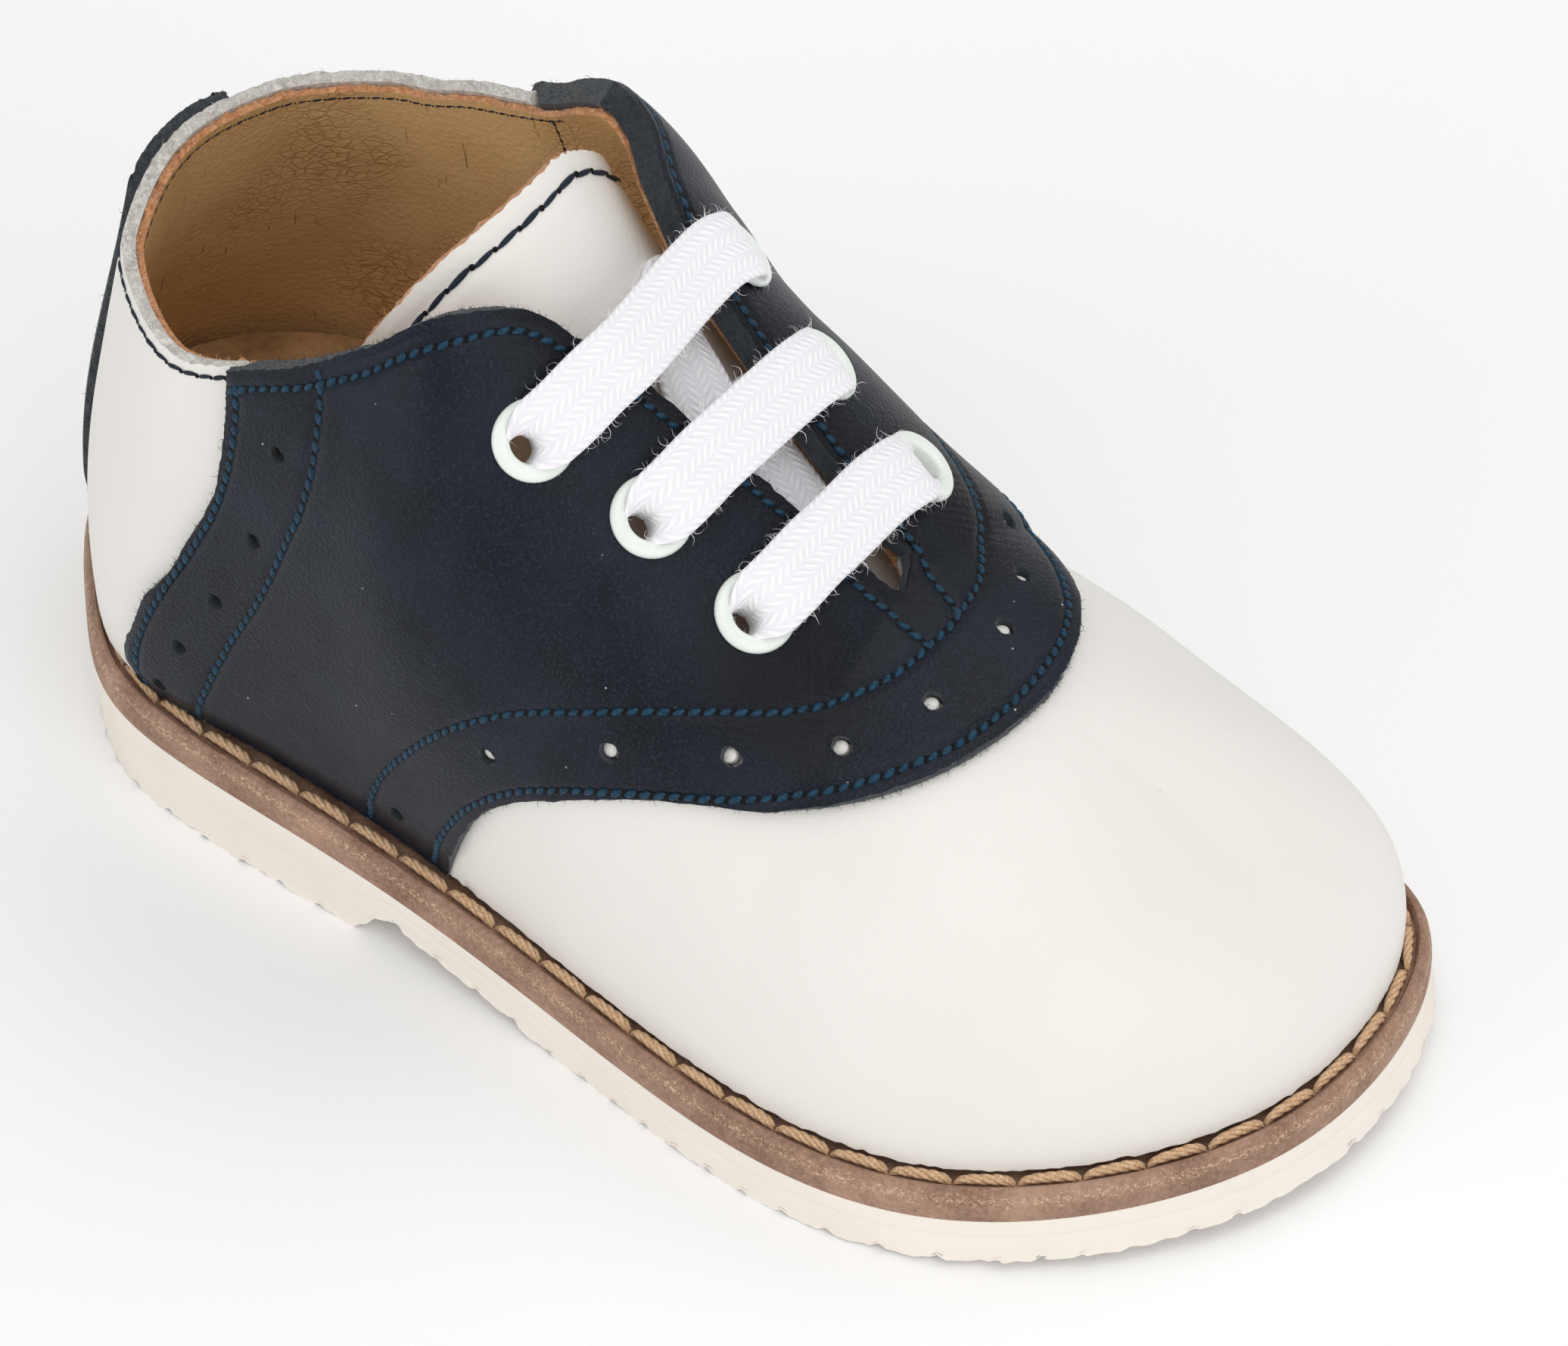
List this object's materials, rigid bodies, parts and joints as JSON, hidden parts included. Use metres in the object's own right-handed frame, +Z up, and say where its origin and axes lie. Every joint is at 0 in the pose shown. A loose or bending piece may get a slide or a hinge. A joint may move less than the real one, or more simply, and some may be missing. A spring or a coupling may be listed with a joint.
{
  "type": "saddle shoe",
  "caption": "Child's right lace-up saddle shoe: white leather upper, navy saddle with punched bands and eyelets, flat lace, stitched welt and cream rubber sole.",
  "frame": {"origin": "middle of the shoe's box, on the floor", "axes": "+X toward the toe, +Y toward the inner side of the foot, +Z up"},
  "size_m": [0.1464, 0.0676, 0.0758],
  "materials": {
    "outsole": "matt, cream",
    "welt": "brown cut edge",
    "insole": "tan suede",
    "upper": "smooth white, satin",
    "saddle": "navy, polished",
    "backstay": "navy, polished",
    "tongue": "smooth white, satin",
    "eyelet": "white enamel",
    "lace": "flat woven cotton"
  },
  "bodies": {
    "root": {"outsole": "outsole", "welt": "welt", "insole": "insole", "upper": "upper", "saddle": "saddle", "backstay": "backstay", "tongue": "tongue", "eyelet_outer_1": "eyelet", "eyelet_outer_2": "eyelet", "eyelet_outer_3": "eyelet", "eyelet_inner_1": "eyelet", "eyelet_inner_2": "eyelet", "eyelet_inner_3": "eyelet", "lace_bar_1": "lace", "lace_bar_2": "lace", "lace_bar_3": "lace"}
  },
  "joints": []
}
